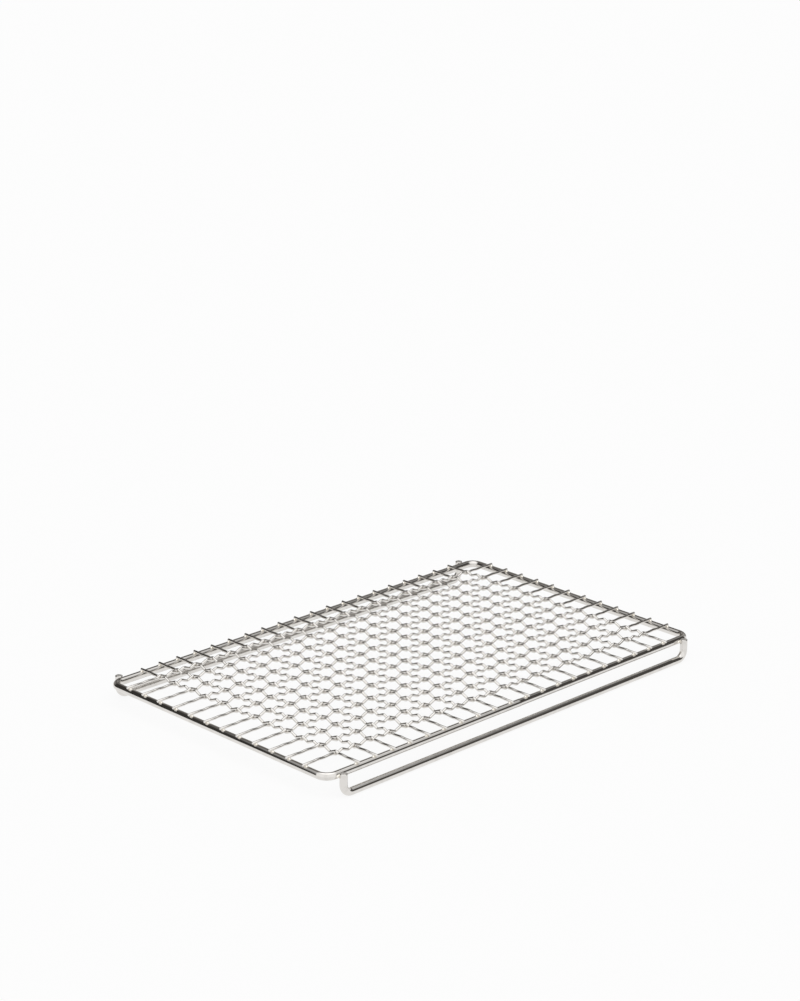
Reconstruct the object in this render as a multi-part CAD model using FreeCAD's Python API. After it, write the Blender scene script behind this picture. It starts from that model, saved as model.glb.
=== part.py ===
"""Wire cooling rack: a woven wire mesh welded on a round wire frame, carried by two wire runners.

The mesh is an intercrimped plain weave. Every mesh wire is bent up and down in equal crimps, an
odd number of them from one crossing to the next, so that it passes over its neighbours and under
them in turn and its crests seat on the wires that it crosses. Its ends lie on the frame wire,
where they are spot welded. Each runner is one wire bent to a wide U: its bar is the foot of the
rack, and its two legs stand against the outer side of the frame.

Millimetres, +Z up. The origin is on the table under the middle of the rack, +X runs along the
long wires and +Y across them. A round wire is drawn with flats, as many as its size is worth.
"""
import FreeCAD
import Part

import math
import os

# Mesh
LONG_WIRE_COUNT = 12            # wires that run along X
CROSS_WIRE_COUNT = 20           # wires that run along Y
MESH_PITCH = 15.0               # centre to centre, the same both ways
MESH_WIRE_DIAMETER = 1.8
CRIMPS_PER_PITCH = 3            # bends from one crossing to the next, always odd
WEAVE_CLEARANCE = 0.02          # gap between two wires where one passes over the other

# Frame
FRAME_WIRE_DIAMETER = 5.0
FRAME_CORNER_RADIUS = 7.0       # of the wire's centre line
END_MARGIN = 25.0               # last cross wire to the centre line of the frame's short side
SIDE_MARGIN = 18.0              # last long wire to the centre line of the frame's long side

# Runners
RUNNER_WIRE_DIAMETER = 5.0
RUNNER_BEND_RADIUS = 6.0        # of the wire's centre line
RUNNER_DROP = 11.4              # centre line of the frame down to the centre line of the bar
LEG_INSET = 9.5                 # centre line of a leg to the centre line of the frame's short side
LEG_RISE = 2.0                  # top of a leg above the centre line of the frame
LEG_WELD_DIAMETER = 4.0         # bead of weld between a leg and the frame

# Flats that stand for round
WIRE_FLATS = 16                 # round the frame wire and the runner wire
BEND_FLATS = 6                  # along each bend of these wires

# Places that follow from the sizes
HALF_LENGTH = (CROSS_WIRE_COUNT - 1) * MESH_PITCH / 2 + END_MARGIN
HALF_WIDTH = (LONG_WIRE_COUNT - 1) * MESH_PITCH / 2 + SIDE_MARGIN
BAR_HEIGHT = RUNNER_WIRE_DIAMETER / 2
FRAME_HEIGHT = BAR_HEIGHT + RUNNER_DROP
MESH_HEIGHT = FRAME_HEIGHT + (FRAME_WIRE_DIAMETER + MESH_WIRE_DIAMETER) / 2
LEG_X = HALF_LENGTH - LEG_INSET
LEG_Y = HALF_WIDTH + (FRAME_WIRE_DIAMETER + RUNNER_WIRE_DIAMETER) / 2

Vector = FreeCAD.Vector
X_AXIS = Vector(1, 0, 0)
Y_AXIS = Vector(0, 1, 0)
Z_AXIS = Vector(0, 0, 1)


def round_section(centre, side, up, diameter):
    """Return a round wire's section in the plane of side and up, its diameter measured on the flats."""
    corner_radius = diameter / 2 / math.cos(math.pi / WIRE_FLATS)
    angles = [2 * math.pi * (flat + 0.5) / WIRE_FLATS for flat in range(WIRE_FLATS)]
    corners = [
        centre + side * (corner_radius * math.cos(angle)) + up * (corner_radius * math.sin(angle))
        for angle in angles
    ]
    return Part.makePolygon(corners + corners[:1])


def bend_sections(centre, start_side, end_side, axis, bend_radius, diameter):
    """Return the sections along a right-angled bend that turns from start_side to end_side."""
    sections = []
    for step in range(BEND_FLATS + 1):
        angle = math.pi / 2 * step / BEND_FLATS
        outward = start_side * math.cos(angle) + end_side * math.sin(angle)
        sections.append(round_section(centre + outward * bend_radius, outward, axis, diameter))
    return sections


def make_frame_ring():
    """Bend the frame wire to a rectangle with four round corners and close it on itself."""
    corner_x = HALF_LENGTH - FRAME_CORNER_RADIUS
    corner_y = HALF_WIDTH - FRAME_CORNER_RADIUS
    turn_sides = [X_AXIS, Y_AXIS, -X_AXIS, -Y_AXIS, X_AXIS]
    corners = [(1, 1), (-1, 1), (-1, -1), (1, -1)]
    sections = []
    for start_side, end_side, (sign_x, sign_y) in zip(turn_sides, turn_sides[1:], corners):
        centre = Vector(sign_x * corner_x, sign_y * corner_y, FRAME_HEIGHT)
        sections += bend_sections(
            centre, start_side, end_side, Z_AXIS, FRAME_CORNER_RADIUS, FRAME_WIRE_DIAMETER)
    return Part.makeLoft(sections, True, True, True)


def make_runner(side):
    """Bend one runner, leg, bar and leg, standing at the front (side -1) or at the rear (side 1)."""
    y = side * LEG_Y
    bend_x = LEG_X - RUNNER_BEND_RADIUS
    bend_height = BAR_HEIGHT + RUNNER_BEND_RADIUS
    leg_top = FRAME_HEIGHT + LEG_RISE
    sections = [round_section(Vector(-LEG_X, y, leg_top), -X_AXIS, Y_AXIS, RUNNER_WIRE_DIAMETER)]
    sections += bend_sections(
        Vector(-bend_x, y, bend_height), -X_AXIS, -Z_AXIS, Y_AXIS,
        RUNNER_BEND_RADIUS, RUNNER_WIRE_DIAMETER)
    sections += bend_sections(
        Vector(bend_x, y, bend_height), -Z_AXIS, X_AXIS, Y_AXIS,
        RUNNER_BEND_RADIUS, RUNNER_WIRE_DIAMETER)
    sections.append(round_section(Vector(LEG_X, y, leg_top), X_AXIS, Y_AXIS, RUNNER_WIRE_DIAMETER))
    return Part.makeLoft(sections, True, True)


def make_leg_welds(frame_ring, runners):
    """Fill the gap round each point where a leg meets the frame with a bead of weld."""
    beads = []
    for runner, side_y in zip(runners, (-1, 1)):
        for side_x in (-1, 1):
            centres = [Vector(side_x * LEG_X, side_y * y, FRAME_HEIGHT) for y in (HALF_WIDTH, LEG_Y)]
            ends = [round_section(centre, X_AXIS, Z_AXIS, LEG_WELD_DIAMETER) for centre in centres]
            beads.append(Part.makeLoft(ends, True, True).cut(frame_ring).cut(runner))
    return Part.makeCompound(beads)


def crimped_centre_line(crossing_count, margin, starts_on_top):
    """Return the bends of one mesh wire as (distance along it, height) from the mesh's middle.

    Crests alternate above and below, and one falls on every crossing. Past the last crossing the
    wire comes back to the middle height and runs straight to the outer side of the frame wire.
    """
    spacing = MESH_PITCH / CRIMPS_PER_PITCH
    crest = (MESH_WIRE_DIAMETER + WEAVE_CLEARANCE) / 2
    reach = (crossing_count - 1) * MESH_PITCH / 2
    tip = reach + margin + FRAME_WIRE_DIAMETER / 2
    bend_count = (crossing_count - 1) * CRIMPS_PER_PITCH + 1
    first_side = 1 if starts_on_top else -1
    bends = [
        (index * spacing - reach, first_side * crest * (-1) ** index) for index in range(bend_count)
    ]
    left_tail = [(-tip, 0.0), (-reach - spacing / 2, 0.0)]
    right_tail = [(reach + spacing / 2, 0.0), (tip, 0.0)]
    return left_tail + bends + right_tail


def mesh_section(centre, side):
    """Return a mesh wire's section: a square on its corner, as wide and as high as the round wire."""
    up = Z_AXIS * (MESH_WIRE_DIAMETER / 2)
    across = side * (MESH_WIRE_DIAMETER / 2)
    corners = [centre + up, centre + across, centre - up, centre - across]
    return Part.makePolygon(corners + corners[:1])


def make_mesh_wire(crossing_count, margin, starts_on_top, offset, along, side):
    """Loft one crimped mesh wire through an upright section at each of its bends."""
    origin = side * offset + Z_AXIS * MESH_HEIGHT
    line = crimped_centre_line(crossing_count, margin, starts_on_top)
    centres = [origin + along * distance + Z_AXIS * height for distance, height in line]
    return Part.makeLoft([mesh_section(centre, side) for centre in centres], True, True)


def make_long_wires():
    """Weave the wires along X, front to rear, over and under the cross wires in turn."""
    wires = {}
    for row in range(LONG_WIRE_COUNT):
        offset = (row - (LONG_WIRE_COUNT - 1) / 2) * MESH_PITCH
        wires["long_wire_%02d" % (row + 1)] = make_mesh_wire(
            CROSS_WIRE_COUNT, END_MARGIN, row % 2 == 1, offset, X_AXIS, Y_AXIS)
    return wires


def make_cross_wires():
    """Weave the wires along Y, left to right, each opposite to the long wires at its crossings."""
    wires = {}
    for column in range(CROSS_WIRE_COUNT):
        offset = (column - (CROSS_WIRE_COUNT - 1) / 2) * MESH_PITCH
        wires["cross_wire_%02d" % (column + 1)] = make_mesh_wire(
            LONG_WIRE_COUNT, SIDE_MARGIN, column % 2 == 0, offset, Y_AXIS, X_AXIS)
    return wires


def main():
    """Build every piece and write each one to its own STEP file."""
    frame_ring = make_frame_ring()
    front_runner = make_runner(-1)
    rear_runner = make_runner(1)
    pieces = {
        "frame_ring": frame_ring,
        "front_runner": front_runner,
        "rear_runner": rear_runner,
        "leg_welds": make_leg_welds(frame_ring, [front_runner, rear_runner]),
        **make_long_wires(),
        **make_cross_wires(),
    }
    os.makedirs("parts", exist_ok=True)
    for name, shape in pieces.items():
        shape.exportStep(os.path.join("parts", name + ".step"))


main()
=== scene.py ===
"""Looks of a wire cooling rack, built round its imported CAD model.

The rack is a ring of thick wire, a woven mesh of crimped thin wire welded on top of it, and a bent wire
runner along each long side. Each wire is made here round and bright, in the place of its CAD node.
All lengths are in metres. X runs along the long wires, Y along the cross wires, and Z is up.
"""

import logging
import math
from dataclasses import dataclass
from enum import Enum
from typing import Any

import bpy
from mathutils import Matrix, Quaternion, Vector


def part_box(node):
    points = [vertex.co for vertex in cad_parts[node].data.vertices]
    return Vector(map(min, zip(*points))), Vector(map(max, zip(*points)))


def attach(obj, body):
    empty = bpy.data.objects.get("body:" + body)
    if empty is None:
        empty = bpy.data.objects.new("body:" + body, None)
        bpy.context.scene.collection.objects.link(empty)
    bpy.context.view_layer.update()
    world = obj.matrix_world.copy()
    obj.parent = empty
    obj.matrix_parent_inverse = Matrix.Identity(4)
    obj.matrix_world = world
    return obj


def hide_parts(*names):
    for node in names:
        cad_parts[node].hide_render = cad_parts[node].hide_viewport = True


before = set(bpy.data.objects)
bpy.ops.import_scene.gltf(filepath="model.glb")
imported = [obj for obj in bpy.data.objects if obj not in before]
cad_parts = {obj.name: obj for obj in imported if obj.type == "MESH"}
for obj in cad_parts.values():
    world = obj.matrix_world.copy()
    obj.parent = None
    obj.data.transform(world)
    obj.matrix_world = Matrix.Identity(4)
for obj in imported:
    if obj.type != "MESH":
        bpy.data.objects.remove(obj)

BODY = "root"
MM = 0.001
UP = Vector((0.0, 0.0, 1.0))
ALONG_X = Vector((1.0, 0.0, 0.0))
ALONG_Y = Vector((0.0, 1.0, 0.0))
LOG = logging.getLogger("cooling_rack")

SKIN_SIDES = 4  # a wire's skin has faces of four sides, and only its two end faces have more
MERGE_DISTANCE = 0.001 * MM
END_SEGMENTS = 3  # round the edge of a wire's end

# the sockets of a Mix node that are for colours
MIX_SHARE = 0
MIX_FIRST = 6
MIX_SECOND = 7
MIXED = 2


class Slot(Enum):
    """The record's material slots."""

    FRAME_WIRE = "frame_wire"
    MESH_WIRE = "mesh_wire"


class Grain(Enum):
    """The way that a wire's drawing lines run, as the scale of a pattern on each axis."""

    ALONG_X = (0.02, 1.0, 1.0)
    ALONG_Y = (1.0, 0.02, 1.0)
    EVEN = (1.0, 1.0, 1.0)


# ---------------------------------------------------------------- materials


def srgb(code: str) -> tuple[float, float, float, float]:
    """Turns an sRGB hex colour into linear values.

    Args:
        code: Six hex digits after a hash sign.

    Returns:
        Red, green and blue in linear light, and an alpha of 1.
    """
    parts = [int(code[i : i + 2], 16) / 255 for i in (1, 3, 5)]
    linear = [c / 12.92 if c <= 0.04045 else ((c + 0.055) / 1.055) ** 2.4 for c in parts]
    return (*linear, 1.0)


def add_node(
    tree: bpy.types.NodeTree,
    kind: str,
    settings: dict[str | int, Any] | None = None,
    links: dict[str | int, bpy.types.NodeSocket] | None = None,
) -> bpy.types.Node:
    """Adds a node with its settings and what feeds it.

    Args:
        tree: The node tree to add to.
        kind: The node's Blender type name.
        settings: Values by property name, or by input name or number.
        links: Output sockets that feed inputs, by input name or number.

    Returns:
        The new node.
    """
    node = tree.nodes.new(kind)
    for name, value in (settings or {}).items():
        if isinstance(name, str) and hasattr(node, name):
            setattr(node, name, value)
        else:
            node.inputs[name].default_value = value
    for name, socket in (links or {}).items():
        tree.links.new(socket, node.inputs[name])
    return node


def new_tree(name: str) -> tuple[bpy.types.Material, bpy.types.NodeTree]:
    """Makes an empty material.

    Args:
        name: The material's name.

    Returns:
        The material and its node tree.
    """
    material = bpy.data.materials.new(name)
    material.use_nodes = True
    material.node_tree.nodes.clear()
    return material, material.node_tree


@dataclass(frozen=True)
class BrightStainlessWire:
    """Bright stainless steel wire, grade 304, drawn through a die and electropolished after welding.

    It mirrors the room with slightly soft edges. Drawing leaves faint lines along the wire, polishing
    leaves a low orange-peel wave, and handling leaves patches that are a little duller.
    """

    name: str
    grain: Grain
    colour: str = "#DFDCD8"
    dull_colour: str = "#D2CFCA"
    roughness: float = 0.025
    dull_roughness: float = 0.07
    patch_size: float = 6.0 * MM
    patch_edges: tuple[float, float] = (0.45, 0.75)
    line_spacing: float = 0.25 * MM
    line_depth: float = 0.0015 * MM
    wave_size: float = 1.6 * MM
    wave_depth: float = 0.003 * MM

    def make(self) -> bpy.types.Material:
        """Builds the material.

        Returns:
            The material.
        """
        material, tree = new_tree(self.name)
        place = add_node(tree, "ShaderNodeTexCoord")
        along = add_node(
            tree,
            "ShaderNodeMapping",
            {"Scale": self.grain.value},
            {"Vector": place.outputs["Object"]},
        )
        patches = add_node(
            tree,
            "ShaderNodeTexNoise",
            {"Scale": 1 / self.patch_size, "Detail": 3.0, "Roughness": 0.55},
            {"Vector": place.outputs["Object"]},
        )
        lines = add_node(
            tree,
            "ShaderNodeTexNoise",
            {"Scale": 1 / self.line_spacing, "Detail": 2.0, "Roughness": 0.6},
            {"Vector": along.outputs["Vector"]},
        )
        wave = add_node(
            tree,
            "ShaderNodeTexNoise",
            {"Scale": 1 / self.wave_size, "Detail": 1.0},
            {"Vector": place.outputs["Object"]},
        )
        dullness = add_node(
            tree,
            "ShaderNodeMapRange",
            {"From Min": self.patch_edges[0], "From Max": self.patch_edges[1]},
            {"Value": patches.outputs["Fac"]},
        )
        colour = add_node(
            tree,
            "ShaderNodeMix",
            {"data_type": "RGBA", MIX_FIRST: srgb(self.colour), MIX_SECOND: srgb(self.dull_colour)},
            {MIX_SHARE: dullness.outputs["Result"]},
        )
        roughness = add_node(
            tree,
            "ShaderNodeMapRange",
            {"To Min": self.roughness, "To Max": self.dull_roughness},
            {"Value": dullness.outputs["Result"]},
        )
        wave_bump = add_node(
            tree,
            "ShaderNodeBump",
            {"Strength": 1.0, "Distance": self.wave_depth},
            {"Height": wave.outputs["Fac"]},
        )
        line_bump = add_node(
            tree,
            "ShaderNodeBump",
            {"Strength": 1.0, "Distance": self.line_depth},
            {"Height": lines.outputs["Fac"], "Normal": wave_bump.outputs["Normal"]},
        )
        shader = add_node(
            tree,
            "ShaderNodeBsdfPrincipled",
            {"Metallic": 1.0},
            {
                "Base Color": colour.outputs[MIXED],
                "Roughness": roughness.outputs["Result"],
                "Normal": line_bump.outputs["Normal"],
            },
        )
        add_node(tree, "ShaderNodeOutputMaterial", links={"Surface": shader.outputs["BSDF"]})
        return material


@dataclass(frozen=True)
class DullStainless:
    """Stainless weld metal or a sheared wire end, electropolished but left as rough as it was made.

    It is rippled and duller than the drawn wire, and weld metal has a faint straw tint from the heat.
    """

    name: str
    colour: str = "#F4F0E8"
    tint: str = "#E4DCCB"
    roughness: float = 0.2
    ripple_size: float = 0.7 * MM
    ripple_depth: float = 0.03 * MM
    tint_edges: tuple[float, float] = (0.5, 0.7)

    def make(self) -> bpy.types.Material:
        """Builds the material.

        Returns:
            The material.
        """
        material, tree = new_tree(self.name)
        place = add_node(tree, "ShaderNodeTexCoord")
        ripple = add_node(
            tree,
            "ShaderNodeTexNoise",
            {"Scale": 1 / self.ripple_size, "Detail": 2.0},
            {"Vector": place.outputs["Object"]},
        )
        stain = add_node(
            tree,
            "ShaderNodeMapRange",
            {"From Min": self.tint_edges[0], "From Max": self.tint_edges[1]},
            {"Value": ripple.outputs["Fac"]},
        )
        colour = add_node(
            tree,
            "ShaderNodeMix",
            {"data_type": "RGBA", MIX_FIRST: srgb(self.colour), MIX_SECOND: srgb(self.tint)},
            {MIX_SHARE: stain.outputs["Result"]},
        )
        bump = add_node(
            tree,
            "ShaderNodeBump",
            {"Strength": 1.0, "Distance": self.ripple_depth},
            {"Height": ripple.outputs["Fac"]},
        )
        shader = add_node(
            tree,
            "ShaderNodeBsdfPrincipled",
            {"Metallic": 1.0, "Roughness": self.roughness},
            {"Base Color": colour.outputs[MIXED], "Normal": bump.outputs["Normal"]},
        )
        add_node(tree, "ShaderNodeOutputMaterial", links={"Surface": shader.outputs["BSDF"]})
        return material


# ---------------------------------------------------------------- wire forming


@dataclass(frozen=True)
class Feed:
    """A straight length of wire."""

    length: float


@dataclass(frozen=True)
class Bend:
    """A turn of the wire round a former: its angle in radians, and its radius at the wire's centre."""

    angle: float
    radius: float
    steps: int

    def mirrored(self) -> "Bend":
        """The same bend turned the other way."""
        return Bend(-self.angle, self.radius, self.steps)


def reach(moves: list[Feed | Bend]) -> Vector:
    """Works out how far a run of moves gets from a level start.

    Args:
        moves: Feeds and bends, all in one plane.

    Returns:
        The distance along the first heading and the distance to the side that positive bends turn to.
    """
    slope = 0.0
    place = Vector((0.0, 0.0))
    for move in moves:
        if isinstance(move, Feed):
            place += move.length * Vector((math.cos(slope), math.sin(slope)))
        else:
            radius = math.copysign(move.radius, move.angle)
            turned = slope + move.angle
            along = math.sin(turned) - math.sin(slope)
            aside = math.cos(slope) - math.cos(turned)
            place += radius * Vector((along, aside))
            slope = turned
    return place


class WireFormer:
    """Feeds a round wire out straight and bends it, as a wire-forming machine does.

    The wire starts as a filled circle and grows by extruding or spinning its last section, so that it is
    one closed skin from end to end.
    """

    def __init__(
        self,
        name: str,
        start: Vector,
        heading: Vector,
        axis: Vector,
        diameter: float,
        sides: int,
    ) -> None:
        """Starts a wire and leaves its first section selected in edit mode.

        Args:
            name: The piece's name.
            start: The centre of the wire's first end.
            heading: The way that the wire is fed, of length 1.
            axis: The axis that every bend turns about, right-handed, of length 1.
            diameter: The wire's diameter.
            sides: The number of sides of its round section.
        """
        bpy.ops.object.select_all(action="DESELECT")
        bpy.ops.mesh.primitive_circle_add(
            vertices=sides,
            radius=diameter / 2,
            fill_type="NGON",
            location=start,
            rotation=UP.rotation_difference(heading).to_euler(),
        )
        bpy.ops.object.transform_apply()
        self.piece: bpy.types.Object = bpy.context.active_object
        self.piece.name = name
        self.axis = axis.copy()
        self.place = start.copy()
        self.heading = heading.copy()
        bpy.ops.object.mode_set(mode="EDIT")
        bpy.ops.mesh.select_all(action="SELECT")

    def feed(self, length: float) -> None:
        """Feeds a straight length of wire.

        Args:
            length: The length.
        """
        step = self.heading * length
        bpy.ops.mesh.extrude_region_move(TRANSFORM_OT_translate={"value": step})
        self.place += step

    def bend(self, angle: float, radius: float, steps: int) -> None:
        """Bends the wire round a former.

        Args:
            angle: How far the wire turns about its axis, in radians.
            radius: The bend's radius at the wire's centre.
            steps: The number of straight steps in the bend.
        """
        towards = self.axis.cross(self.heading) * math.copysign(1.0, angle)
        centre = self.place + towards * radius
        # with no window, spin turns the other way round its axis
        bpy.ops.mesh.spin(steps=steps, angle=-angle, center=centre, axis=self.axis)
        turn = Quaternion(self.axis, angle)
        self.place = centre + turn @ (self.place - centre)
        self.heading = turn @ self.heading

    def run(self, moves: list[Feed | Bend]) -> None:
        """Makes a list of moves in order.

        Args:
            moves: Feeds and bends.
        """
        for move in moves:
            if isinstance(move, Feed):
                self.feed(move.length)
            else:
                self.bend(move.angle, move.radius, move.steps)

    def swell(self, scale: float) -> None:
        """Scales the last section about its centre."""
        bpy.ops.transform.resize(value=(scale, scale, scale), center_override=self.place)

    def finish(self, end_round: float) -> bpy.types.Object:
        """Joins the wire's skin, turns its faces outwards, rounds its ends and smooths it.

        Args:
            end_round: The rounding of the wire's two ends, or 0 for a ring, where the two end faces are
                one inside the wire, and it is deleted.

        Returns:
            The finished wire, in object mode.
        """
        bpy.ops.mesh.select_all(action="SELECT")
        bpy.ops.mesh.remove_doubles(threshold=MERGE_DISTANCE)
        bpy.ops.mesh.select_mode(type="FACE")
        bpy.ops.mesh.select_all(action="DESELECT")
        bpy.ops.mesh.select_face_by_sides(number=SKIN_SIDES, type="GREATER")
        if end_round:
            bpy.ops.mesh.bevel(offset=end_round, segments=END_SEGMENTS, affect="EDGES")
        else:
            bpy.ops.mesh.delete(type="ONLY_FACE")
        bpy.ops.mesh.select_all(action="SELECT")
        bpy.ops.mesh.normals_make_consistent(inside=False)
        bpy.ops.mesh.select_mode(type="VERT")
        bpy.ops.object.mode_set(mode="OBJECT")
        bpy.ops.object.shade_smooth_by_angle(angle=math.radians(45))
        return self.piece


def copy_of(source: bpy.types.Object, name: str, step: Vector) -> bpy.types.Object:
    """Copies a piece, with its own mesh, to another place.

    Args:
        source: The piece to copy.
        name: The copy's name.
        step: How far the copy is from the source.

    Returns:
        The copy.
    """
    copy = source.copy()
    copy.data = source.data.copy()
    copy.name = name
    copy.data.transform(Matrix.Translation(step))
    bpy.context.scene.collection.objects.link(copy)
    return copy


def join(pieces: list[bpy.types.Object], name: str) -> bpy.types.Object:
    """Joins pieces into one object.

    Args:
        pieces: The pieces, each with its own mesh.
        name: The joined piece's name.

    Returns:
        The joined piece.
    """
    bpy.ops.object.select_all(action="DESELECT")
    for piece in pieces:
        piece.select_set(True)
    bpy.context.view_layer.objects.active = pieces[0]
    bpy.ops.object.join()
    pieces[0].name = name
    return pieces[0]


def dull_tops(piece: bpy.types.Object, material: bpy.types.Material) -> None:
    """Gives a dressed piece's upward end faces, where its wire was sheared, their own finish.

    Args:
        piece: The piece.
        material: The finish of its end faces.
    """
    steepest = math.radians(8)
    piece.data.materials.append(material)
    for face in piece.data.polygons:
        is_end = len(face.vertices) > SKIN_SIDES
        face.material_index = int(is_end and face.normal.angle(UP) < steepest)


def dress(piece: bpy.types.Object, material: bpy.types.Material, nodes: list[str]) -> None:
    """Gives a piece its finish and its body, and hides the CAD nodes that it stands for.

    Args:
        piece: The piece.
        material: Its finish.
        nodes: The CAD nodes that it stands for, if any.
    """
    piece.data.materials.clear()
    piece.data.materials.append(material)
    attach(piece, BODY)
    if nodes:
        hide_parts(*nodes)
    LOG.info("%s: %d faces", piece.name, len(piece.data.polygons))


# ---------------------------------------------------------------- the rack


@dataclass
class FrameRing:
    """The thick wire ring that carries the mesh, butt-welded in the middle of its front side."""

    corner_radius: float = 7.0 * MM
    sides: int = 32
    corner_steps: int = 16
    weld_reach: float = 0.9 * MM
    weld_swell: float = 1.05
    node: str = "frame_ring"

    def form(self) -> bpy.types.Object:
        """Forms the ring from one wire and closes it on itself.

        Returns:
            The ring.
        """
        low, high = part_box(self.node)
        wire = high.z - low.z
        half_length = (high.x - low.x - wire) / 2
        half_width = (high.y - low.y - wire) / 2
        start = Vector((0.0, -half_width, (low.z + high.z) / 2))
        former = WireFormer("ring_wire", start, ALONG_X, UP, wire, self.sides)
        corner = Bend(math.pi / 2, self.corner_radius, self.corner_steps)
        front_half = half_length - self.corner_radius - self.weld_reach
        end_run = Feed(2 * (half_width - self.corner_radius))
        back_run = Feed(2 * (half_length - self.corner_radius))
        former.swell(self.weld_swell)
        former.feed(self.weld_reach)
        former.swell(1 / self.weld_swell)
        former.run([Feed(front_half), corner, end_run, corner])
        former.run([back_run, corner, end_run, corner, Feed(front_half)])
        former.feed(self.weld_reach)
        former.swell(self.weld_swell)
        return former.finish(0.0)

    def build(self, steel: bpy.types.Material) -> None:
        """Forms the ring and dresses it in its steel."""
        dress(self.form(), steel, [self.node])


@dataclass
class Runner:
    """One bent wire foot: a bar along the table with a leg up to the frame at each end."""

    node: str
    name: str
    bend_radius: float = 6.0 * MM
    sides: int = 32
    bend_steps: int = 16
    end_round: float = 0.5 * MM

    def form(self) -> bpy.types.Object:
        """Forms the runner from one end of its wire to the other.

        Returns:
            The runner.
        """
        low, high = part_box(self.node)
        wire = high.y - low.y
        start = Vector((low.x + wire / 2, (low.y + high.y) / 2, high.z))
        former = WireFormer(self.name, start, -UP, -ALONG_Y, wire, self.sides)
        leg = Feed(high.z - low.z - wire / 2 - self.bend_radius)
        bar = Feed(high.x - low.x - wire - 2 * self.bend_radius)
        bend = Bend(math.pi / 2, self.bend_radius, self.bend_steps)
        former.run([leg, bend, bar, bend, leg])
        return former.finish(self.end_round)

    def build(self, steel: bpy.types.Material, sheared_steel: bpy.types.Material) -> None:
        """Forms the runner and dresses it.

        Args:
            steel: The finish of the wire.
            sheared_steel: The finish of the tops of its legs.
        """
        piece = self.form()
        dress(piece, steel, [self.node])
        dull_tops(piece, sheared_steel)


@dataclass(frozen=True)
class WireSet:
    """The mesh wires that run one way.

    The kind is the first part of their CAD nodes' names, and the crossed kind is that of the wires that
    they cross.
    """

    kind: str
    crossed_kind: str
    way: Vector
    tail_crimps: int
    first_rises: bool

    def nodes(self) -> list[str]:
        """The CAD nodes of these wires, in order."""
        return sorted(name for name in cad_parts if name.startswith(self.kind))

    def crossings(self) -> int:
        """The number of wires that each of them crosses."""
        return sum(name.startswith(self.crossed_kind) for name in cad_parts)


LONG_WIRES = WireSet("long_wire", "cross_wire", ALONG_X, tail_crimps=3, first_rises=False)
CROSS_WIRES = WireSet("cross_wire", "long_wire", ALONG_Y, tail_crimps=2, first_rises=True)


@dataclass
class CrimpedWire:
    """A mesh wire, crimped up and down so that it seats on each wire that it crosses.

    Past the last wire that it crosses, its crimps are shallow, and its two ends lie level on the frame.
    The near end reaches the outer side of the frame, and the far end is trimmed a little shorter.
    """

    crest_radius: float = 2.0 * MM
    crimp_spacing: float = 5.0 * MM
    crimps_per_pitch: int = 3
    shallow_slope: float = math.radians(7.0)
    ease: float = 0.4 * MM
    crest_steps: int = 6
    shallow_steps: int = 4
    entry_steps: int = 2
    exit_steps: int = 3
    sides: int = 16
    end_round: float = 0.45 * MM
    far_trim: float = 1.4 * MM

    def tail(self, slope: float, length: float, crimps: int) -> list[Feed | Bend]:
        """Plans the wire from its first end to its first full crimp.

        Args:
            slope: The slope at which the full crimps start, in radians.
            length: The distance to the full crimps, along the wire.
            crimps: The number of shallow crimps.

        Returns:
            The moves.
        """
        sense = -math.copysign(1.0, slope)
        shallow_radius = self.crimp_spacing / (2 * math.sin(self.shallow_slope))
        entry_radius = self.ease / math.tan(self.shallow_slope / 2)
        moves: list[Feed | Bend] = [Bend(sense * self.shallow_slope, entry_radius, self.entry_steps)]
        for _ in range(crimps):
            sense = -sense
            moves.append(Bend(2 * sense * self.shallow_slope, shallow_radius, self.shallow_steps))
        turn = slope - sense * self.shallow_slope
        moves.append(Bend(turn, self.ease / math.tan(abs(turn) / 2), self.exit_steps))
        # the corner of the last bend lies in the middle of a flank, and the bend ends past it
        return [Feed(length + self.ease * math.cos(slope) - reach(moves).x), *moves]

    def form(self, name: str, node: str, wire_set: WireSet, rises: bool) -> bpy.types.Object:
        """Forms one wire.

        Args:
            name: The piece's name.
            node: The CAD node whose place it takes.
            wire_set: The wires that it is one of.
            rises: Whether the first crimp is a crest.

        Returns:
            The wire.
        """
        way = wire_set.way
        crimps = (wire_set.crossings() - 1) * self.crimps_per_pitch + 1
        low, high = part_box(node)
        middle = (low + high) / 2
        wire = (high - low).dot(Vector((way.y, way.x, 0.0)))
        depth = high.z - low.z - wire
        half_run = (high - low).dot(way) / 2
        radius = self.crest_radius
        # each flank touches the arc of a crest and the arc of the next trough
        across = Vector((self.crimp_spacing, 2 * radius - depth))
        slope = math.atan2(across.x, across.y) - math.acos(2 * radius / across.length)
        flank = math.sqrt(across.length_squared - 4 * radius**2)
        sense = 1 if rises else -1
        tail_length = half_run - crimps * self.crimp_spacing / 2
        tail = self.tail(sense * slope, tail_length, wire_set.tail_crimps)
        body: list[Feed | Bend] = [Feed(flank / 2 - self.ease)]
        for _ in range(crimps):
            sense = -sense
            body += [Bend(2 * sense * slope, radius, self.crest_steps), Feed(flank)]
        body[-1] = body[0]
        far_tail = [move.mirrored() if isinstance(move, Bend) else move for move in reversed(tail)]
        far_tail[-1] = Feed(tail[0].length - self.far_trim)
        whole_rise = reach([*tail, *body, *far_tail]).y
        start = middle - way * half_run - UP * whole_rise / 2
        former = WireFormer(name, start, way, way.cross(UP), wire, self.sides)
        former.run([*tail, *body, *far_tail])
        return former.finish(self.end_round)


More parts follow.
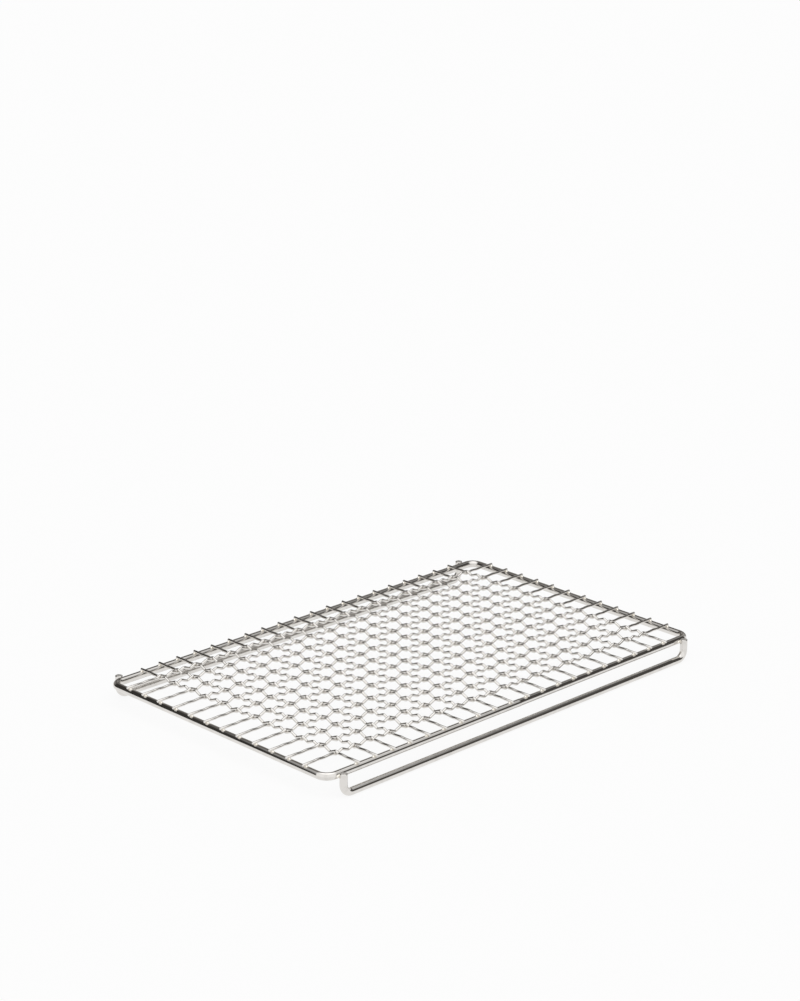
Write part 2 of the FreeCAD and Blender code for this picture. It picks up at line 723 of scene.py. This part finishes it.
@dataclass
class WovenMesh:
    """The crimped wires of the mesh, in the places of their CAD nodes."""

    shape: CrimpedWire

    def form(self, wire_set: WireSet) -> list[bpy.types.Object]:
        """Forms two wires, one the other upside down, and copies them in turn to the others' places.

        Args:
            wire_set: The wires to make.

        Returns:
            The wires, in order.
        """
        nodes = wire_set.nodes()
        pieces: list[bpy.types.Object] = []
        for number, node in enumerate(nodes):
            name = node.replace("wire", "crimped_wire")
            if number < 2:
                rises = wire_set.first_rises == (number == 0)
                pieces.append(self.shape.form(name, node, wire_set, rises))
            else:
                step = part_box(node)[0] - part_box(nodes[number % 2])[0]
                pieces.append(copy_of(pieces[number % 2], name, step))
        return pieces

    def build(self, wire_set: WireSet, steel: bpy.types.Material) -> None:
        """Forms the wires that run one way and dresses each.

        Args:
            wire_set: The wires to make.
            steel: Their finish.
        """
        for node, piece in zip(wire_set.nodes(), self.form(wire_set)):
            dress(piece, steel, [node])


@dataclass
class SpotWelds:
    """The welds where mesh wires lie on the frame: each is a low mound that flares out along the frame.

    A mound is as wide as its foot at the bottom. Each ring above it has a share of that width, and a height
    over the foot.
    """

    sides: int = 12
    foot: float = 3.6 * MM
    foot_across: float = 1.9 * MM
    foot_depth: float = 1.0 * MM
    ring_shares: tuple[float, ...] = (0.72, 0.5, 0.36, 0.27)
    ring_heights: tuple[float, ...] = (0.7 * MM, 1.05 * MM, 1.45 * MM, 1.85 * MM)
    sharp_angle: float = math.radians(60)

    def mound(self, seat: Vector, way: Vector) -> bpy.types.Object:
        """Models one weld.

        Args:
            seat: The point where the wire touches the frame.
            way: The way that the mesh wire runs.

        Returns:
            The weld.
        """
        bottom = seat - UP * self.foot_depth
        bpy.ops.object.select_all(action="DESELECT")
        bpy.ops.mesh.primitive_circle_add(
            vertices=self.sides,
            radius=self.foot,
            fill_type="NGON",
            location=bottom,
        )
        bpy.ops.object.transform_apply()
        mound = bpy.context.active_object
        bpy.ops.object.mode_set(mode="EDIT")
        bpy.ops.mesh.select_all(action="SELECT")
        squeeze = self.foot_across / self.foot
        scale = (squeeze, 1.0, 1.0) if way.x else (1.0, squeeze, 1.0)
        bpy.ops.transform.resize(value=scale, center_override=bottom)
        share, height = 1.0, 0.0
        for next_share, next_height in zip(self.ring_shares, self.ring_heights):
            rise = UP * (next_height - height)
            bpy.ops.mesh.extrude_region_move(TRANSFORM_OT_translate={"value": rise})
            shrink = next_share / share
            bpy.ops.transform.resize(value=(shrink, shrink, 1.0), center_override=bottom)
            share, height = next_share, next_height
        bpy.ops.mesh.select_all(action="SELECT")
        bpy.ops.mesh.normals_make_consistent(inside=False)
        bpy.ops.object.mode_set(mode="OBJECT")
        bpy.ops.object.shade_smooth_by_angle(angle=self.sharp_angle)
        return mound

    def row(self, wire_set: WireSet, far: bool) -> bpy.types.Object:
        """Models one side's welds, one under the end of each wire.

        Args:
            wire_set: The wires that are welded.
            far: Whether the side is at the wires' far ends.

        Returns:
            The welds, as one piece.
        """
        low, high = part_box("frame_ring")
        half_wire = (high.z - low.z) / 2
        inset = Vector((half_wire, half_wire, 0.0))
        side = high - inset if far else low + inset
        seats: list[Vector] = []
        for node in wire_set.nodes():
            corner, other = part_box(node)
            centre = (corner + other) / 2
            seat = centre + wire_set.way * (side - centre).dot(wire_set.way)
            seat.z = high.z
            seats.append(seat)
        first = self.mound(seats[0], wire_set.way)
        copies = [copy_of(first, "spot_weld", seat - seats[0]) for seat in seats[1:]]
        end = "far" if far else "near"
        return join([first, *copies], f"{wire_set.kind}_welds_{end}")

    def build(self, wire_set: WireSet, weld_metal: bpy.types.Material) -> None:
        """Models and dresses the welds at both ends of the wires.

        Args:
            wire_set: The wires that are welded.
            weld_metal: The finish of the welds.
        """
        for far in (False, True):
            dress(self.row(wire_set, far), weld_metal, [])


@dataclass
class LegWelds:
    """The beads that weld the legs to the frame, each along the frame's outer side, a little past a leg."""

    sides: int = 16
    reach: float = 3.6 * MM
    radius: float = 1.15 * MM
    steps: int = 18
    ripple: float = 0.05
    end_share: float = 0.1414
    end_round: float = 0.05 * MM
    node: str = "leg_welds"

    def bead(self, centre: Vector) -> bpy.types.Object:
        """Models one bead, thick in the middle, rippled, and tapered to its ends.

        Args:
            centre: The middle of the bead.

        Returns:
            The bead.
        """
        start = centre - ALONG_X * self.reach
        former = WireFormer("leg_weld_bead", start, ALONG_X, UP, 2 * self.radius, self.sides)
        widths: list[float] = []
        for step in range(self.steps + 1):
            along = -1 + 2 * step / self.steps
            taper = max(math.sqrt(1 - along**2), self.end_share)
            widths.append(taper * (1 + self.ripple * (-1) ** step))
        former.swell(widths[0])
        for before, after in zip(widths, widths[1:]):
            former.feed(2 * self.reach / self.steps)
            former.swell(after / before)
        return former.finish(self.end_round)

    def beads(self) -> bpy.types.Object:
        """Models the bead at each leg.

        Returns:
            The beads, as one piece.
        """
        low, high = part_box(self.node)
        frame_low, frame_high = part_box("frame_ring")
        leg_low, leg_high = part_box("front_runner")
        half_wire = (leg_high.y - leg_low.y) / 2
        leg_x = leg_high.x - half_wire
        height = (low.z + high.z) / 2
        beads: list[bpy.types.Object] = []
        for x in (-leg_x, leg_x):
            for y in (frame_low.y, frame_high.y):
                beads.append(self.bead(Vector((x, y, height))))
        return join(beads, "leg_weld_beads")

    def build(self, weld_metal: bpy.types.Material) -> None:
        """Models the beads and dresses them in weld metal."""
        dress(self.beads(), weld_metal, [self.node])


# ---------------------------------------------------------------- the studio


@dataclass(frozen=True)
class Panel:
    """A soft-edged patch of the light tent, by the way that it lies from the rack.

    All four sizes are angles in degrees, seen from the middle of the rack. The heading turns from +X to +Y,
    and the height is above the table. The patch is whole within its core, and fades out past it.
    """

    heading: float
    height: float
    core: float
    fade: float
    colour: str
    strength: float = 1.0

    def way(self) -> Vector:
        """Works out where the patch is.

        Returns:
            The way from the rack to the middle of the patch, of length 1.
        """
        heading, height = math.radians(self.heading), math.radians(self.height)
        level = math.cos(height)
        return Vector((level * math.cos(heading), level * math.sin(heading), math.sin(height)))


@dataclass
class Studio:
    """A white table in a tent of white cloth and grey panels, which only the metal mirrors."""

    floor_size: float = 60.0
    floor_drop: float = 0.02 * MM
    white: str = "#FDFDFD"
    shadow_share: float = 0.1
    sky_strength: float = 0.6
    sun_strength: float = 1.4
    sun_width: float = 70.0
    sun_turn: tuple[float, float, float] = (25.0, -20.0, 0.0)
    tent_radius: float = 1.3
    tent_rings: int = 24
    tent_strength: float = 1.1
    panels: tuple[Panel, ...] = (
        # behind the rack: a wide grey panel, a low dark one, and three paler patches on them
        Panel(58.0, 25.0, 29.0, 37.0, "#6F6C69"),
        Panel(32.0, 2.0, 25.0, 24.0, "#353331"),
        Panel(76.0, 23.0, 4.0, 17.0, "#B0ADAA"),
        Panel(14.0, 23.0, 4.0, 17.0, "#B0ADAA"),
        Panel(45.0, 21.0, 3.0, 15.0, "#A19E9B"),
        # on the right: a dark grey panel
        Panel(-43.0, 16.0, 17.0, 12.0, "#524F4C"),
        # on the left: a wide dark panel along the table, and a paler patch on it
        Panel(106.0, 0.0, 42.0, 12.0, "#3B3937"),
        Panel(88.0, 9.0, 10.0, 22.0, "#8A8784"),
        # high up: a small dark panel on the right, and a bright one overhead
        Panel(-17.0, 37.0, 2.0, 28.0, "#363432"),
        Panel(44.0, 80.0, 12.0, 24.0, "#FFFFFF", 1.6),
    )

    def build(self) -> None:
        """Makes the floor, the tent, the light and the world."""
        self.make_floor()
        self.make_tent()
        self.make_light()
        self.make_world()

    def seen(self, tree: bpy.types.NodeTree) -> bpy.types.NodeSocket:
        """Tells the rays that show a surface, straight or mirrored, from those that only light it.

        Args:
            tree: The node tree to add this to.

        Returns:
            A socket that is 1 for the rays that show the surface, and 0 for the others.
        """
        rays = add_node(tree, "ShaderNodeLightPath")
        mirrored = add_node(
            tree,
            "ShaderNodeMath",
            {"operation": "MAXIMUM"},
            {0: rays.outputs["Is Glossy Ray"], 1: rays.outputs["Is Transmission Ray"]},
        )
        shown = add_node(
            tree,
            "ShaderNodeMath",
            {"operation": "MAXIMUM"},
            {0: rays.outputs["Is Camera Ray"], 1: mirrored.outputs["Value"]},
        )
        return shown.outputs["Value"]

    def make_floor(self) -> None:
        """Lays a floor that looks white to the camera and in the metal, and keeps a faint shadow."""
        bpy.ops.object.select_all(action="DESELECT")
        bpy.ops.mesh.primitive_plane_add(size=self.floor_size, location=-UP * self.floor_drop)
        bpy.ops.object.transform_apply()
        floor = bpy.context.active_object
        floor.name = "floor"
        material, tree = new_tree("matt_white_table")
        glow = add_node(tree, "ShaderNodeEmission", {"Color": srgb(self.white), "Strength": 1.0})
        matt = add_node(tree, "ShaderNodeBsdfDiffuse", {"Color": srgb(self.white)})
        pale = add_node(
            tree,
            "ShaderNodeMixShader",
            {"Fac": self.shadow_share},
            {1: glow.outputs["Emission"], 2: matt.outputs["BSDF"]},
        )
        whole = add_node(
            tree,
            "ShaderNodeMixShader",
            links={0: self.seen(tree), 1: matt.outputs["BSDF"], 2: pale.outputs["Shader"]},
        )
        add_node(tree, "ShaderNodeOutputMaterial", links={"Surface": whole.outputs["Shader"]})
        floor.data.materials.append(material)

    def make_tent(self) -> None:
        """Puts up the tent: the upper half of a sphere, open to every ray that isn't a reflection."""
        bpy.ops.object.select_all(action="DESELECT")
        bpy.ops.mesh.primitive_uv_sphere_add(
            segments=2 * self.tent_rings,
            ring_count=self.tent_rings,
            radius=self.tent_radius,
        )
        tent = bpy.context.active_object
        tent.name = "tent"
        bpy.ops.object.mode_set(mode="EDIT")
        bpy.ops.mesh.select_all(action="SELECT")
        bpy.ops.mesh.bisect(plane_co=(0.0, 0.0, 0.0), plane_no=UP, clear_inner=True)
        bpy.ops.object.mode_set(mode="OBJECT")
        tent.data.materials.append(self.tent_cloth())
        tent.visible_camera = False
        tent.visible_diffuse = False
        tent.visible_transmission = False
        tent.visible_shadow = False

    def tent_cloth(self) -> bpy.types.Material:
        """Builds the tent's glowing white cloth with its panels.

        Returns:
            The material.
        """
        material, tree = new_tree("tent_cloth_and_flags")
        place = add_node(tree, "ShaderNodeTexCoord")
        way = add_node(
            tree,
            "ShaderNodeVectorMath",
            {"operation": "NORMALIZE"},
            {0: place.outputs["Object"]},
        )
        cloth = [self.tent_strength * c for c in srgb(self.white)[:3]]
        under: bpy.types.NodeSocket | None = None
        for panel in self.panels:
            facing = add_node(
                tree,
                "ShaderNodeVectorMath",
                {"operation": "DOT_PRODUCT", 1: panel.way()},
                {0: way.outputs["Vector"]},
            )
            angle = add_node(
                tree,
                "ShaderNodeMath",
                {"operation": "ARCCOSINE"},
                {0: facing.outputs["Value"]},
            )
            share = add_node(
                tree,
                "ShaderNodeMapRange",
                {
                    "interpolation_type": "SMOOTHSTEP",
                    "From Min": math.radians(panel.core + panel.fade),
                    "From Max": math.radians(panel.core),
                },
                {"Value": angle.outputs["Value"]},
            )
            tone = [panel.strength * c for c in srgb(panel.colour)[:3]]
            cover = add_node(
                tree,
                "ShaderNodeMix",
                {"data_type": "RGBA", MIX_FIRST: (*cloth, 1.0), MIX_SECOND: (*tone, 1.0)},
                {MIX_SHARE: share.outputs["Result"]},
            )
            # the first panel covers the cloth, and each later one covers those before it
            if under:
                tree.links.new(under, cover.inputs[MIX_FIRST])
            under = cover.outputs[MIXED]
        glow = add_node(tree, "ShaderNodeEmission", {"Strength": 1.0}, {"Color": under})
        add_node(tree, "ShaderNodeOutputMaterial", links={"Surface": glow.outputs["Emission"]})
        return material

    def make_light(self) -> None:
        """Hangs a very wide, soft light over the table, for the shadow."""
        turn = [math.radians(a) for a in self.sun_turn]
        bpy.ops.object.light_add(type="SUN", location=UP, rotation=turn)
        light = bpy.context.active_object
        light.name = "soft_light"
        light.data.angle = math.radians(self.sun_width)
        light.data.energy = self.sun_strength
        light.visible_glossy = False

    def make_world(self) -> None:
        """Makes a white world, dimmer where it only lights the scene."""
        world = bpy.data.worlds.new("white_world")
        bpy.context.scene.world = world
        world.use_nodes = True
        tree = world.node_tree
        tree.nodes.clear()
        strength = add_node(
            tree,
            "ShaderNodeMapRange",
            {"To Min": self.sky_strength, "To Max": 1.0},
            {"Value": self.seen(tree)},
        )
        background = add_node(
            tree,
            "ShaderNodeBackground",
            {"Color": srgb(self.white)},
            {"Strength": strength.outputs["Result"]},
        )
        add_node(tree, "ShaderNodeOutputWorld", links={"Surface": background.outputs["Background"]})


@dataclass
class Viewpoint:
    """The camera: above the near left corner, with a long lens."""

    place: tuple[float, float, float] = (-1.1802, -1.1770, 0.6877)
    turn: tuple[float, float, float] = (71.340, -0.535, -44.706)
    lens: float = 97.75
    sensor_width: float = 36.0
    farthest_view: float = 100.0

    def build(self) -> None:
        """Makes the camera and sets how the scene is viewed."""
        turn = [math.radians(a) for a in self.turn]
        bpy.ops.object.camera_add(location=self.place, rotation=turn)
        camera = bpy.context.active_object
        camera.data.lens = self.lens
        camera.data.sensor_width = self.sensor_width
        camera.data.clip_end = self.farthest_view
        scene = bpy.context.scene
        scene.camera = camera
        scene.view_settings.view_transform = "Standard"


# ---------------------------------------------------------------- the scene


def main() -> None:
    """Builds the rack's pieces in order, each dressed as it is made, and sets the stage."""
    logging.basicConfig(level=logging.INFO, format="%(name)s: %(message)s")
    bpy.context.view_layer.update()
    even_steel = BrightStainlessWire("bright_stainless_ring_wire", Grain.EVEN).make()
    bar_steel = BrightStainlessWire("bright_stainless_bar_wire", Grain.ALONG_X).make()
    long_steel = BrightStainlessWire("bright_stainless_long_wire", Grain.ALONG_X).make()
    cross_steel = BrightStainlessWire("bright_stainless_cross_wire", Grain.ALONG_Y).make()
    weld_metal = DullStainless("stainless_weld_metal").make()
    sheared_steel = DullStainless(
        name="sheared_stainless_end",
        colour="#E6E4E0",
        tint="#D6D2CC",
        roughness=0.5,
        ripple_size=0.4 * MM,
        ripple_depth=0.01 * MM,
    ).make()
    FrameRing().build(even_steel)
    for node in ("front_runner", "rear_runner"):
        Runner(node, node.replace("runner", "runner_wire")).build(bar_steel, sheared_steel)
    LegWelds().build(weld_metal)
    for wire_set, steel in ((LONG_WIRES, long_steel), (CROSS_WIRES, cross_steel)):
        WovenMesh(CrimpedWire()).build(wire_set, steel)
        SpotWelds().build(wire_set, weld_metal)
    Studio().build()
    Viewpoint().build()


if __name__ == "__main__":
    main()
